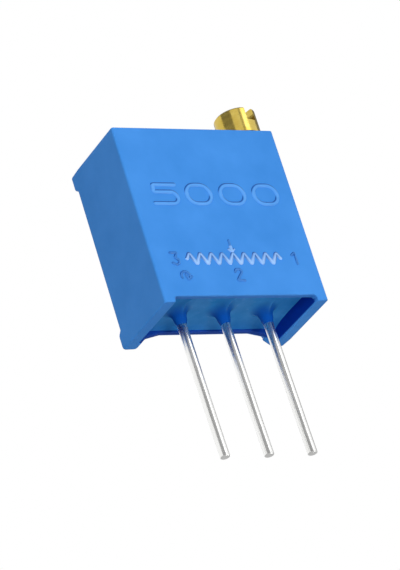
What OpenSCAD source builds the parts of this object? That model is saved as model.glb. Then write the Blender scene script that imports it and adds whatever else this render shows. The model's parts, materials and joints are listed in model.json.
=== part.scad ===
// Trimmer potentiometer: multi-turn, top-adjusted, three pins in line.
// Frame: +Z up, +X right as seen from the marked front face, +Y towards the back.
// Origin: middle of the pin row, on the plane of the feet (the board's surface).
// A brass worm turns a toothed rotor, which carries a wiper round a printed ceramic plate.

/* [Body] */
// Width over the side walls
body_w = 9.53; // [9:0.01:11.6]
// Depth over the back pads
body_d = 4.83; // [4.6:0.01:5.9]
// Height above the feet
body_h = 10.03; // [9.8:0.01:12.1]
// Radius on the upright corners
corner_r = 0.12; // [0.05:0.01:0.3]

/* [Housing walls] */
// Thickness of the side walls, which end in the feet
side_wall = 0.63; // [0.45:0.01:0.8]
// Thickness of the marked front wall
front_wall = 0.36; // [0.3:0.01:0.38]
// Thickness of the back wall between the pads
back_wall = 0.40; // [0.3:0.01:0.5]
// Thickness of the top wall
top_wall = 0.60; // [0.4:0.01:0.8]
// How far the back pads stand out
pad_out = 0.25; // [0.1:0.01:0.35]
// Width of a back pad
pad_w = 1.20; // [0.8:0.01:1.6]
// Height of a back pad
pad_h = 0.90; // [0.6:0.01:1.2]
// Gap under the front wall, between the feet
front_gap = 0.33; // [0.1:0.01:0.5]
// Gap under the middle of the back wall
back_gap = 0.72; // [0.5:0.01:0.85]
// Height at which the slope beside a back foot changes pitch
foot_knee_h = 0.42; // [0.2:0.01:0.48]
// Width of a back foot at its tip
foot_tip_w = 0.62; // [0.5:0.01:0.8]
// Distance from the side to that change of pitch
foot_knee_in = 1.20; // [1:0.01:1.4]
// Distance from the side to the level stretch between the back feet
foot_root_in = 2.15; // [1.6:0.01:2.5]

/* [Pins] */
// Distance from pin to pin
pin_pitch = 2.54; // [2.3:0.01:2.8]
// Diameter of a pin
pin_dia = 0.50; // [0.42:0.01:0.6]
// Length of a pin below the feet
pin_len = 7.37; // [3:0.01:12]
// Length of the flattened tab that is soldered to the plate
tab_len = 1.65; // [1.3:0.01:1.7]
// Thickness of that tab
tab_t = 0.26; // [0.2:0.01:0.34]
// Width of that tab
tab_w = 0.66; // [0.5:0.01:0.8]

/* [Adjusting screw] */
// Distance from the right side to the screw's axis
screw_side = 1.205; // [1.15:0.005:1.45]
// Distance from the front face to the screw's axis
screw_front = 1.14; // [1.12:0.01:1.25]
// Diameter of the head
head_dia = 2.19; // [1.9:0.01:2.2]
// Height of the head's top above the housing
head_rise = 1.47; // [1.2:0.01:2.2]
// Bevel round the head's top edge
head_bevel = 0.07; // [0.03:0.01:0.2]
// Width of the screwdriver slot
slot_w = 0.56; // [0.4:0.01:0.7]
// Depth of the screwdriver slot
slot_d = 0.76; // [0.5:0.01:0.9]
// Gap between the head and the housing
head_gap = 0.06; // [0.03:0.01:0.12]
// Diameter of the journal that turns in the housing
journal_dia = 1.48; // [1.44:0.01:1.5]
// Outer diameter of the worm's thread
worm_dia = 1.44; // [1.36:0.01:1.44]
// Length of the threaded stretch
worm_len = 4.00; // [3.4:0.01:4.1]
// Radial running clearance of the journal and the pivots
run_fit = 0.03; // [0.02:0.005:0.05]

/* [Drive] */
// Radius of the rotor's pitch circle
pitch_r = 3.00; // [2.85:0.01:3.05]
// Teeth on the rotor
rotor_teeth = 30; // [28:1:36]
// Width of the rotor
rotor_t = 1.10; // [0.95:0.01:1.2]
// Tooth height above the pitch line
addendum = 0.16; // [0.12:0.01:0.17]
// Tooth depth below the pitch line
dedendum = 0.19; // [0.18:0.01:0.21]
// Share of the pitch that a tooth or the thread fills on the pitch line
tooth_fill = 0.40; // [0.34:0.01:0.42]
// Slope of the tooth flanks
flank_deg = 20; // [14:1:24]
// Height of the rotor's axis above the feet
rotor_z = 5.90; // [5.8:0.01:6]
// Diameter of the boss that the rotor turns on
pivot_dia = 1.60; // [1.3:0.01:1.9]
// Travel of the wiper to each side of its middle place
half_travel = 150; // [120:1:150]

/* [Element] */
// Thickness of the ceramic plate
plate_t = 0.65; // [0.5:0.01:0.75]
// Thickness of the printed films
film_t = 0.03; // [0.02:0.005:0.05]
// Mean radius of the resistive track
track_r = 2.42; // [2.3:0.01:2.5]
// Width of the resistive track
track_w = 0.70; // [0.5:0.01:0.8]
// Mean radius of the collector track
collector_r = 1.20; // [1.1:0.01:1.3]
// Width of the collector track
collector_w = 0.60; // [0.4:0.01:0.7]
// Play between the plate's edges and the housing
plate_play = 0.10; // [0.05:0.01:0.2]

/* [Wiper] */
// Thickness of the spring metal
spring_t = 0.09; // [0.06:0.01:0.12]
// Width of one spring finger
finger_w = 0.12; // [0.08:0.01:0.14]
// Distance from finger to finger
finger_pitch = 0.17; // [0.15:0.01:0.2]

/* [Potting] */
// Height of the potting's face above the plane of the feet
potting_z = 0.92; // [0.88:0.01:1]
// Thickness of the potting
potting_t = 0.85; // [0.7:0.01:0.9]
// Radius of the epoxy's fillet round a pin
fillet_r = 0.55; // [0.4:0.01:0.6]
// Thickness of the epoxy's collar on a pin, where the fillet ends
pin_coat = 0.10; // [0.05:0.01:0.12]
// Length over which that collar tapers to nothing
coat_len = 0.35; // [0.1:0.01:0.38]

/* [Marking] */
// Height of the raised marks above the front face
mark_h = 0.06; // [0.03:0.01:0.1]
// Width of a stroke in the large figures
stroke_w = 0.17; // [0.12:0.01:0.22]
// Height of a large figure
figure_h = 1.20; // [0.9:0.01:1.5]
// Width of a large figure
figure_w = 1.62; // [1.3:0.01:1.7]
// Distance from one large figure to the next
figure_pitch = 1.98; // [1.8:0.01:2]
// Offset of the large figures' middle to the right
figure_x = 0.14; // [-0.2:0.01:0.2]
// Height of the large figures' middle above the feet
figure_z = 6.14; // [5.5:0.01:7]
// Offset of the resistor symbol's middle to the right
symbol_x = -0.16; // [-0.2:0.01:0.2]
// Height of the resistor symbol above the feet
symbol_z = 2.22; // [2:0.01:2.6]
// Length of the resistor symbol between its leads
symbol_l = 5.40; // [4.5:0.01:5.8]
// Width of a stroke in the resistor symbol and its terminal numbers
fine_w = 0.11; // [0.08:0.01:0.14]

/* [Hidden] */
$fn = 64;
over = 0.5;              // how far a cut runs past the face that it opens
bond = 0.02;             // how deep a boss is rooted in its wall
slip = 0.02;             // play of a still piece in its seat

// Planes of the housing
half_w = body_w / 2;
half_d = body_d / 2;
back_y = half_d - pad_out;
in_x = half_w - side_wall;
in_front = -half_d + front_wall;
in_back = back_y - back_wall;
in_top = body_h - top_wall;

// Pins, potting and the ceramic plate
pin_r = pin_dia / 2;
pin_x = [pin_pitch, 0, -pin_pitch];
potting_top = potting_z + potting_t;
tab_z = potting_z - 0.07;
tab_top = tab_z + tab_len;
film_y = pin_r;
plate_y = film_y + film_t;
plate_z = potting_z + 0.28;
plate_top = in_top - plate_play;
pad_film_w = 0.90;
pad_film_top = tab_top + 0.25;
lead_low = rotor_z - track_r - track_w / 2 - 0.12;   // where the collector's lead turns to pin 2
solder_r = (tab_top - potting_top) / 2 + 0.10;

// Screw and worm
screw_x = half_w - screw_side;
screw_y = -half_d + screw_front;
journal_r = journal_dia / 2;
bore_r = journal_r + run_fit;
worm_r = worm_dia / 2;
worm_pitch_r = worm_r - addendum;
worm_root_r = worm_pitch_r - dedendum;
lead = 2 * PI * pitch_r / rotor_teeth;
lead_deg = atan(lead / (2 * PI * worm_pitch_r));
worm_low = rotor_z - worm_len / 2;
worm_high = rotor_z + worm_len / 2;
hand = 1;                // right-hand thread: clockwise turns drive the wiper to pin 3
slot_turn = 14;          // the slot's turn from the Y axis at rest
shoulder_h = 0.15;
clip_t = 0.25;
clip_low = worm_high + shoulder_h;
clip_high = clip_low + clip_t + 2 * slip;
clip_half_w = 0.68;
clip_front = 0.60;
neck_r = 0.42;
heel_top = worm_low - 0.25;
pivot_low = heel_top - 0.60;
ring_z = body_h - 0.85;
ring_h = 0.42;
ring_seat_r = 0.45;
ring_fit = 0.01;

// Rotor and its pocket
rotor_x = screw_x - worm_pitch_r - pitch_r;
tip_r = pitch_r + addendum;
root_r = pitch_r - dedendum;
rotor_front = screw_y - rotor_t / 2;
rotor_back = screw_y + rotor_t / 2;
front_room = rotor_front - in_front;
pivot_r = pivot_dia / 2;
pivot_deep = 0.70;
hub_r = pivot_r + 0.45;
pocket_x = rotor_x + tip_r + 0.12;
block_back = screw_y + 0.95;
neck_block_x = screw_x - 1.15;
heel_block_x = screw_x - 0.96;

// A peg on the housing runs in a groove of the rotor, up to the web that closes it
stop_r = 2.00;
stop_w = 0.45;
stop_deep = 0.35;
web_deg = 14;
stop_play_deg = 1.5;
peg_deg = 180 - half_travel - web_deg - stop_play_deg;

// Wiper
stake_r = 0.15;
stake_z = [-0.05, 1.00];
foot_half_w = 0.42;
foot_z = [-0.35, 1.30];
touch_r = 0.11;
touch_fit = 0.01;

// Ring sector between two angles, counted from +Y towards +X
module sector(r0, r1, a0, a1) {
    steps = ceil((a1 - a0) / 30);
    step = (a1 - a0) / steps;
    intersection() {
        difference() {
            circle(r1);
            circle(r0);
        }
        polygon(concat(
            [[0, 0]],
            [for (i = [0:steps]) 2 * r1 * [sin(a0 + i * step), cos(a0 + i * step)]]
        ));
    }
}

// Straight strip of width w from a to b, with round ends
module strip(a, b, w) {
    run = b - a;
    translate(a) rotate(atan2(run.y, run.x)) {
        translate([0, -w / 2]) square([norm(run), w]);
        circle(d = w);
        translate([norm(run), 0]) circle(d = w);
    }
}

// Chain of strips through a list of points
module stroke(points, w) {
    for (i = [1:len(points) - 1]) strip(points[i - 1], points[i], w);
}

// Flat shape in X and Z, given the thickness t from the plane y towards the front
module upright(y, t) {
    translate([0, y, 0]) rotate([90, 0, 0]) linear_extrude(t) children();
}

// Profile in Y and Z, carried along X over the width w about x
module across(x, w) {
    translate([x - w / 2, 0, 0]) rotate([90, 0, 90]) linear_extrude(w) children();
}

// Shape about the rotor's axis: local +Y is up, and local +Z points to the front
module on_rotor(y) {
    translate([rotor_x, y, rotor_z]) rotate([90, 0, 0]) children();
}

// Housing: one moulding, open below, with the screw's bore, the rotor's boss and the marks
module body_plan() {
    r = corner_r;
    translate([-half_w + r, -half_d]) square([body_w - 2 * r, back_y + half_d]);
    translate([-half_w, -half_d + r]) square([body_w, back_y + half_d - 2 * r]);
    for (sx = [-1, 1], y = [-half_d + r, back_y - r]) translate([sx * (half_w - r), y]) circle(r);
}

module back_pads() {
    for (sx = [-1, 1], z = [0, body_h - pad_h]) {
        translate([sx * (half_w - pad_w / 2) - pad_w / 2, back_y - back_wall / 2, z])
            cube([pad_w, back_wall / 2 + pad_out, pad_h]);
    }
}

// Outline of the gap under the back wall, from foot to foot
module back_arch() {
    slope = [
        [half_w - foot_tip_w, 0],
        [half_w - foot_knee_in, foot_knee_h],
        [half_w - foot_root_in, back_gap],
    ];
    polygon(concat(
        [[slope[0].x, -over], [-slope[0].x, -over]],
        [for (p = slope) [-p.x, p.y]],
        [for (i = [2:-1:0]) slope[i]]
    ));
}

module foot_gaps() {
    translate([-in_x, -half_d - over, -over]) cube([2 * in_x, over + front_wall, over + front_gap]);
    upright(half_d + over, over + half_d - in_back) back_arch();
}

// The well takes the plate behind and the rotor in front, and opens between the feet
module well() {
    deep = in_back - in_front;
    translate([-in_x, in_front, -over]) cube([2 * in_x, deep, over + potting_top]);
    translate([-in_x, block_back, 0]) cube([2 * in_x, in_back - block_back, in_top]);
    translate([-in_x, in_front, 0]) cube([in_x + pocket_x, deep, in_top]);
}

// Solid blocks that bear the screw above and below the worm
module bearing_blocks() {
    deep = block_back - in_front + bond;
    translate([neck_block_x, in_front - bond, clip_high])
        cube([in_x + bond - neck_block_x, deep, in_top + bond - clip_high]);
    translate([heel_block_x, in_front - bond, potting_top])
        cube([in_x + bond - heel_block_x, deep, heel_top - potting_top]);
}

// Rails before the plate and ribs behind it
module plate_guides() {
    rail_w = 0.35;
    rib_w = 0.50;
    rib_x = in_x - 1.15;
    rib_y = plate_y + plate_t + slip;
    tall = in_top + bond - potting_top;
    for (sx = [-1, 1]) {
        translate([sx * (in_x + bond - rail_w / 2) - rail_w / 2, block_back - bond, potting_top])
            cube([rail_w, film_y - slip - block_back + bond, tall]);
        translate([sx * rib_x - rib_w / 2, rib_y, potting_top])
            cube([rib_w, in_back + bond - rib_y, tall]);
    }
}

module screw_bore() {
    translate([screw_x, screw_y, heel_top]) cylinder(r = bore_r, h = body_h + over - heel_top);
    translate([screw_x, screw_y, pivot_low])
        cylinder(r = worm_root_r + run_fit, h = heel_top + over - pivot_low);
}

module clip_pocket() {
    translate([screw_x - clip_half_w - slip, screw_y - clip_front - slip, clip_low])
        cube([2 * (clip_half_w + slip), clip_front + slip + block_back + bond - screw_y,
            clip_high - clip_low]);
}

module rotor_pivot() {
    on_rotor(in_front) translate([0, 0, -front_room - pivot_deep])
        cylinder(r = pivot_r, h = front_room + pivot_deep + bond);
}

module stop_peg() {
    reach = front_room + stop_deep - 0.05;
    on_rotor(in_front + reach) linear_extrude(reach + bond)
        sector(stop_r - stop_w / 2 + 0.04, stop_r + stop_w / 2 - 0.04, 180 - peg_deg, 180 + peg_deg);
}

// Large figures, each centred on the origin
module figure_zero() {
    r = figure_h * 0.48;
    difference() {
        rounded_box(figure_w, figure_h, r);
        rounded_box(figure_w - 2 * stroke_w, figure_h - 2 * stroke_w, r - stroke_w);
    }
}

module figure_five() {
    x = (figure_w - stroke_w) / 2;
    z = (figure_h - stroke_w) / 2;
    bowl_r = (z + 0.13) / 2;
    stroke([[x, z], [-x * 0.8, z], [-x * 0.86, 0.13], [x - bowl_r, 0.13]], stroke_w);
    stroke([[x - bowl_r, -z], [-x, -z]], stroke_w);
    translate([x - bowl_r, 0.13 - bowl_r])
        sector(bowl_r - stroke_w / 2, bowl_r + stroke_w / 2, 0, 180);
}

module rounded_box(w, h, r) {
    translate([-w / 2 + r, -h / 2]) square([w - 2 * r, h]);
    translate([-w / 2, -h / 2 + r]) square([w, h - 2 * r]);
    for (sx = [-1, 1], sz = [-1, 1]) translate([sx * (w / 2 - r), sz * (h / 2 - r)]) circle(r);
}

// Resistor symbol: a zigzag between two leads, with the wiper's arrow on its middle
module resistor_symbol() {
    peaks = 15;
    swing = 0.20;
    step = symbol_l / peaks;
    zigzag = [for (i = [0:peaks - 1]) [(i + 0.5) * step - symbol_l / 2, swing * (i % 2 * 2 - 1)]];
    stroke(concat([[-symbol_l / 2 - 0.25, 0]], zigzag, [[symbol_l / 2 + 0.25, 0]]), fine_w);
    stroke([[0, 1.20], [0, 0.36]], fine_w);
    stroke([[-0.17, 0.62], [0, 0.36], [0.17, 0.62]], fine_w);
}

// Terminal numbers, each centred on the origin
module number_one() {
    stroke([[-0.12, 0.14], [0.04, 0.26], [0.04, -0.26]], fine_w);
}

module number_two() {
    stroke([[-0.16, 0.15], [-0.09, 0.26], [0.09, 0.26], [0.16, 0.12], [-0.16, -0.26],
        [0.18, -0.26]], fine_w);
}

module number_three() {
    stroke([[-0.16, 0.26], [0.15, 0.26], [0, 0.05], [0.15, -0.06], [0.13, -0.22], [0, -0.27],
        [-0.16, -0.20]], fine_w);
}

module markings() {
    side = symbol_l / 2 + 0.75;
    upright(-half_d + bond, mark_h + bond) {
        translate([figure_x, figure_z]) {
            translate([-1.5 * figure_pitch, 0]) figure_five();
            for (i = [-0.5, 0.5, 1.5]) translate([i * figure_pitch, 0]) figure_zero();
        }
        translate([symbol_x, symbol_z]) {
            resistor_symbol();
            translate([-side, 0]) number_three();
            translate([0, -0.78]) number_two();
            translate([side, 0]) number_one();
        }
    }
}

module housing() {
    color([0.24, 0.55, 0.92]) union() {
        difference() {
            union() {
                linear_extrude(body_h) body_plan();
                back_pads();
            }
            foot_gaps();
            difference() {
                well();
                bearing_blocks();
                plate_guides();
            }
            screw_bore();
            clip_pocket();
        }
        rotor_pivot();
        stop_peg();
        markings();
    }
}

// Adjusting screw: slotted head, journal with the ring's groove, clip neck, worm and pivot
module worm_thread() {
    flank = tan(flank_deg);
    tip_half = (tooth_fill * lead / 2) - addendum * flank;
    root_half = (tooth_fill * lead / 2) + dedendum * flank;
    sunk_r = worm_root_r - 0.05;
    sides = 24;
    rings = floor((worm_len - 2 * root_half) / lead * sides);
    start = rotor_z - rings / sides * lead / 2;
    phase = 180 - hand * 360 * (rotor_z - start) / lead + hand * 180;
    points = [for (i = [0:rings], p = [[sunk_r, -root_half], [worm_r, -tip_half],
        [worm_r, tip_half], [sunk_r, root_half]])
        let (a = phase + hand * i * 360 / sides)
        [p[0] * cos(a), p[0] * sin(a), start + i * lead / sides + p[1]]];
    skin = [for (i = [0:rings - 1], k = [0:3], q = [0, 1])
        let (a = 4 * i + k, b = 4 * i + (k + 1) % 4)
        q == 0 ? [a, a + 4, b] : [b, a + 4, b + 4]];
    faces = concat(skin, [[0, 1, 2, 3]], [[for (k = [3:-1:0]) 4 * rings + k]]);
    // a right-hand thread turns the faces inside out, so they are listed backwards
    polyhedron(points, hand < 0 ? faces : [for (f = faces) [for (k = [len(f) - 1:-1:0]) f[k]]]);
}

module adjusting_screw() {
    color([0.80, 0.66, 0.25]) translate([screw_x, screw_y, 0]) {
        difference() {
            union() {
                translate([0, 0, body_h + head_gap])
                    cylinder(d = head_dia, h = head_rise - head_gap - head_bevel);
                translate([0, 0, body_h + head_rise - head_bevel])
                    cylinder(r1 = head_dia / 2, r2 = head_dia / 2 - head_bevel, h = head_bevel);
                translate([0, 0, clip_high]) cylinder(r = journal_r, h = body_h + head_gap - clip_high);
            }
            rotate(slot_turn) translate([-slot_w / 2, -head_dia, body_h + head_rise - slot_d])
                cube([slot_w, 2 * head_dia, slot_d + over]);
            translate([0, 0, ring_z - ring_h / 2]) difference() {
                cylinder(r = journal_r + over, h = ring_h);
                translate([0, 0, -over]) cylinder(r = ring_seat_r, h = ring_h + 2 * over);
            }
        }
        translate([0, 0, clip_low]) cylinder(r = neck_r, h = clip_high - clip_low);
        translate([0, 0, worm_high]) cylinder(r = worm_r, h = shoulder_h);
        translate([0, 0, pivot_low + slip]) cylinder(r = worm_root_r, h = worm_high - pivot_low - slip);
        worm_thread();
    }
}

module o_ring() {
    cord_r = (bore_r - ring_seat_r) / 2 - ring_fit;
    color([0.12, 0.12, 0.13]) translate([screw_x, screw_y, ring_z])
        rotate_extrude() translate([ring_seat_r + ring_fit + cord_r, 0]) circle(cord_r);
}

module retaining_clip() {
    mouth = neck_r + slip;
    color([0.72, 0.73, 0.75]) translate([screw_x, screw_y, clip_low + slip]) difference() {
        translate([-clip_half_w, -clip_front, 0]) cube([2 * clip_half_w, clip_front + 0.80, clip_t]);
        translate([0, 0, -over]) cylinder(r = mouth, h = clip_t + 2 * over);
        translate([-mouth, -clip_front - over, -over]) cube([2 * mouth, clip_front + over, clip_t + 2 * over]);
    }
}

// Rotor: toothed wheel on the housing's boss, with the stop groove and two wiper stakes
module rotor_tooth() {
    flank = tan(flank_deg);
    half = tooth_fill * lead / 2;
    long = rotor_t * cos(lead_deg) - 0.06;
    translate([pitch_r, 0, rotor_t / 2]) rotate([-hand * lead_deg, 0, 0])
        translate([0, 0, -long / 2]) linear_extrude(long) polygon([
            [-dedendum - 0.1, -half - (dedendum + 0.1) * flank],
            [addendum, -half + addendum * flank],
            [addendum, half - addendum * flank],
            [-dedendum - 0.1, half + (dedendum + 0.1) * flank]
        ]);
}

module rotor() {
    color([0.93, 0.92, 0.86]) on_rotor(rotor_back) difference() {
        union() {
            cylinder(r = root_r, h = rotor_t);
            for (i = [0:rotor_teeth - 1]) rotate(i * 360 / rotor_teeth) rotor_tooth();
            cylinder(r = hub_r, h = rotor_t + front_room - run_fit);
            for (z = stake_z) translate([0, z, -spring_t - 0.08])
                cylinder(r = stake_r, h = spring_t + 0.08 + bond);
        }
        translate([0, 0, rotor_t - pivot_deep - 0.10])
            cylinder(r = pivot_r + run_fit, h = pivot_deep + 0.10 + front_room + over);
        translate([0, 0, rotor_t - stop_deep]) linear_extrude(stop_deep + over)
            sector(stop_r - stop_w / 2, stop_r + stop_w / 2, web_deg, 360 - web_deg);
    }
}

// Wiper: one strip of spring metal with three fingers on each track
module wiper_fingers(z0, z1) {
    root_y = rotor_back + spring_t / 2;
    touch_y = film_y - touch_fit - touch_r;
    for (i = [-1:1]) across(i * finger_pitch, finger_w) {
        strip([root_y, z0], [touch_y, z1], spring_t);
        translate([touch_y, z1]) circle(touch_r);
    }
}

module wiper_contact() {
    color([0.78, 0.74, 0.62]) translate([rotor_x, 0, rotor_z]) union() {
        difference() {
            upright(rotor_back + spring_t, spring_t)
                translate([-foot_half_w, foot_z[0]]) square([2 * foot_half_w, foot_z[1] - foot_z[0]]);
            for (z = stake_z) translate([0, rotor_back - over, z]) rotate([-90, 0, 0])
                cylinder(r = stake_r + slip, h = 2 * over);
        }
        wiper_fingers(foot_z[1], track_r);
        wiper_fingers(foot_z[0], -collector_r);
    }
}

// Element: ceramic plate with printed tracks
module ceramic_plate() {
    half = in_x - plate_play;
    color([0.95, 0.94, 0.90]) translate([-half, plate_y, plate_z])
        cube([2 * half, plate_t, plate_top - plate_z]);
}

module track_sector(a0, a1) {
    translate([rotor_x, rotor_z]) sector(track_r - track_w / 2, track_r + track_w / 2, a0, a1);
}

track_end = half_travel + 8;
pad_end = track_end + 8;

module resistive_track() {
    color([0.16, 0.15, 0.15]) upright(plate_y, film_t) track_sector(-track_end, track_end);
}

module collector_track() {
    half = collector_w / 2;
    pad_half = pad_film_w / 2;
    color([0.75, 0.74, 0.70]) upright(plate_y, film_t) {
        translate([rotor_x, rotor_z]) difference() {
            circle(collector_r + half);
            circle(collector_r - half);
        }
        polygon([
            [rotor_x - half, rotor_z - collector_r], [rotor_x - half, lead_low],
            [pin_x[1] - pad_half, pad_film_top], [pin_x[1] - pad_half, potting_top],
            [pin_x[1] + pad_half, potting_top], [pin_x[1] + pad_half, pad_film_top],
            [rotor_x + half, lead_low], [rotor_x + half, rotor_z - collector_r]
        ]);
    }
}

// Film from one end of the resistive track to the outer pin on that side, drawn for +X
module end_pad(x) {
    r = track_r + track_w / 2 - bond;
    rim = function(a) [x + r * sin(a), rotor_z + r * cos(a)];
    inner = pin_pitch - pad_film_w / 2;
    outer = pin_pitch + pad_film_w / 2;
    upright(plate_y, film_t) {
        translate([x, rotor_z])
            sector(track_r - track_w / 2, track_r + track_w / 2, track_end, pad_end);
        polygon([
            rim(pad_end - 1), [inner, potting_top], [outer, potting_top],
            [outer, pad_film_top], rim(track_end + 1)
        ]);
    }
}

module end_pad_1() {
    color([0.75, 0.74, 0.70]) end_pad(rotor_x);
}

module end_pad_3() {
    color([0.75, 0.74, 0.70]) mirror([1, 0, 0]) end_pad(-rotor_x);
}

// Terminal pins: round tinned wire with a flattened tab on the plate
module terminal_pin(x) {
    color([0.80, 0.80, 0.80]) {
        translate([x, 0, -pin_len]) cylinder(r = pin_r, h = pin_len + tab_z);
        translate([x - tab_w / 2, pin_r - tab_t, tab_z]) cube([tab_w, tab_t, tab_len]);
    }
}

module terminal_pin_1() {
    terminal_pin(pin_x[0]);
}

module terminal_pin_2() {
    terminal_pin(pin_x[1]);
}

module terminal_pin_3() {
    terminal_pin(pin_x[2]);
}

// Solder: a mound on the film, round the end of the pin's tab
module solder_joint(x) {
    color([0.66, 0.67, 0.68]) difference() {
        translate([x, film_y, potting_top + solder_r]) sphere(solder_r);
        translate([x - solder_r - over, film_y, potting_top - over])
            cube([2 * (solder_r + over), solder_r + over, 2 * (solder_r + over)]);
        translate([x - tab_w / 2, pin_r - tab_t, tab_z]) cube([tab_w, tab_t + over, tab_len]);
    }
}

module solder_joint_1() {
    solder_joint(pin_x[0]);
}

module solder_joint_2() {
    solder_joint(pin_x[1]);
}

module solder_joint_3() {
    solder_joint(pin_x[2]);
}

// Potting: epoxy that seals the well, risen in a fillet and a thin collar on each pin
module pin_fillet() {
    low = potting_z - fillet_r;
    inner = pin_r + pin_coat;
    rotate_extrude() union() {
        difference() {
            translate([0, low]) square([inner + fillet_r, fillet_r + bond]);
            translate([inner + fillet_r, low]) circle(fillet_r);
        }
        polygon([
            [0, low - 2 * coat_len], [pin_r - pin_coat, low - 2 * coat_len],
            [inner, low], [inner, low + bond], [0, low + bond]
        ]);
    }
}

module potting() {
    color([0.16, 0.38, 0.68]) difference() {
        union() {
            translate([-in_x, in_front, potting_z]) cube([2 * in_x, in_back - in_front, potting_t]);
            for (x = pin_x) translate([x, 0, 0]) pin_fillet();
        }
        for (x = pin_x) terminal_pin(x);
        ceramic_plate();
    }
}

housing();
adjusting_screw();
o_ring();
retaining_clip();
rotor();
wiper_contact();
ceramic_plate();
resistive_track();
collector_track();
end_pad_1();
end_pad_3();
terminal_pin_1();
terminal_pin_2();
terminal_pin_3();
solder_joint_1();
solder_joint_2();
solder_joint_3();
potting();
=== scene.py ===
import json
import math

import bmesh
import bpy
import numpy as np
from mathutils import Matrix, Vector


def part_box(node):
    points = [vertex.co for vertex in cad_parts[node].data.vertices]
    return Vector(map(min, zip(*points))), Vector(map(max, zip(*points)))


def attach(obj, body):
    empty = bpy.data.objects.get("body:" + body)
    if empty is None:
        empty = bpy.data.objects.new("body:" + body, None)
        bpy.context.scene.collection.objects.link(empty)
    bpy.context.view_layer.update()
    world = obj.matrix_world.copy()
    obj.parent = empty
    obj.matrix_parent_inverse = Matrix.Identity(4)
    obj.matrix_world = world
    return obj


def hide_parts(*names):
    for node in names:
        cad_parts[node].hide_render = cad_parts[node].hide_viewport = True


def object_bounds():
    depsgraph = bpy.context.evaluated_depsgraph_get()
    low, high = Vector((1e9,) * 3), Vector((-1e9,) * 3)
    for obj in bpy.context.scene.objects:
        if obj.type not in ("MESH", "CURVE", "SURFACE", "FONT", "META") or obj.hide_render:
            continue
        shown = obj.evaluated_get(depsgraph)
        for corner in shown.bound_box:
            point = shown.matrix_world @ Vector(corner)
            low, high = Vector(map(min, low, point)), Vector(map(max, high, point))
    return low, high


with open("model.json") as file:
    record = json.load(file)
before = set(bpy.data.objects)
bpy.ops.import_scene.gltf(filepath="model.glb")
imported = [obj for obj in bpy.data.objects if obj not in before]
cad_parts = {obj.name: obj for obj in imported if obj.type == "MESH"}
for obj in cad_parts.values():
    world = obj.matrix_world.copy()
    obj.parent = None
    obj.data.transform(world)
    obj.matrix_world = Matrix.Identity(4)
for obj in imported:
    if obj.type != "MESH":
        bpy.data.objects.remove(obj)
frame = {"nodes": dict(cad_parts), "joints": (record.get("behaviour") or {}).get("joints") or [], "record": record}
cadLow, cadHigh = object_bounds()

mm = 0.001
sharpDegrees = 33        # edges that turn more than this stay sharp
mergeMm = 0.0004         # points closer than this become one
guardMm = 0.015          # how far a guard point stands from the arc that it guards
shortGuard = 0.01        # the same where the straight runs are short
cutOver = 0.5            # how far a cutter stands out over the face that it cuts
even = (1, 1, 1)         # a pattern that is stretched in no direction
white = (1, 1, 1, 1)
metal = {"Metallic": 1.0}
multiply, maximum = {"operation": "MULTIPLY"}, {"operation": "MAXIMUM"}
linkObject = bpy.context.scene.collection.objects.link


# a CAD node's lowest and highest corners, in millimetres
def nodeBox(name):
    low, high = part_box(name)
    return np.array(low) / mm, np.array(high) / mm


# smooth step: 3t^2 - 2t^3, where t runs from 0 at a to 1 at b
def smoothStep(value, a, b):
    t = np.clip((value - a) / (b - a), 0, 1)
    return t * t * (3 - 2 * t)


# straight runs joined by arcs tangent to both: an arc starts radius * tan(half the turn) before its
# corner, and a guard point stands beside each of its ends; gives the points and their headings
def roundedPath(corners, radii, steps=6, guard=guardMm):
    p = np.array(corners, float)
    runs = np.diff(p, axis=0)
    ways = runs / np.linalg.norm(runs, axis=1)[:, None]
    places, headings = [p[:1]], [ways[:1]]
    for i, radius in enumerate(radii, 1):
        a, b = ways[i - 1], ways[i]
        turn = math.atan2(a[0] * b[1] - a[1] * b[0], a @ b)
        side = math.copysign(radius, turn)
        angle = turn * np.linspace(0, 1, steps + 1)
        heading = np.column_stack([
            a[0] * np.cos(angle) - a[1] * np.sin(angle),
            a[0] * np.sin(angle) + a[1] * np.cos(angle),
        ])
        start = p[i] - a * radius * math.tan(abs(turn) / 2)
        centre = start + side * np.array([-a[1], a[0]])
        arc = centre - side * np.column_stack([-heading[:, 1], heading[:, 0]])
        places += [start[None] - a * guard, arc, arc[-1:] + b * guard]
        headings += [a[None], heading, b[None]]
    places.append(p[-1:])
    headings.append(ways[-1:])
    return np.concatenate(places), np.concatenate(headings)


# the four-sided faces of a grid in which point (r, c) has the number r * columns + c
def gridFaces(rows, columns, closeRows, closeColumns):
    r = np.arange(rows if closeRows else rows - 1)[:, None]
    c = np.arange(columns if closeColumns else columns - 1)[None, :]
    nextR, nextC = (r + 1) % rows, (c + 1) % columns
    near, far = r * columns, nextR * columns
    return np.stack([near + c, near + nextC, far + nextC, far + c], -1).reshape(-1, 4)


# one mesh object from grids (points[r, c, xyz] in millimetres, closeRows, closeColumns), whose
# doubled points are merged and whose faces are turned outwards
def makeObject(name, grids):
    points, faces, count = [], [], 0
    for grid, closeRows, closeColumns in grids:
        rows, columns = grid.shape[:2]
        points.append(grid.reshape(-1, 3))
        faces.append(gridFaces(rows, columns, closeRows, closeColumns) + count)
        count += rows * columns
    mesh = bpy.data.meshes.new(name)
    mesh.from_pydata((np.concatenate(points) * mm).tolist(), [], np.concatenate(faces).tolist())
    work = bmesh.new()
    work.from_mesh(mesh)
    bmesh.ops.remove_doubles(work, verts=work.verts, dist=mergeMm * mm)
    bmesh.ops.recalc_face_normals(work, faces=work.faces)
    work.to_mesh(mesh)
    work.free()
    obj = bpy.data.objects.new(name, mesh)
    linkObject(obj)
    return obj


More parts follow.
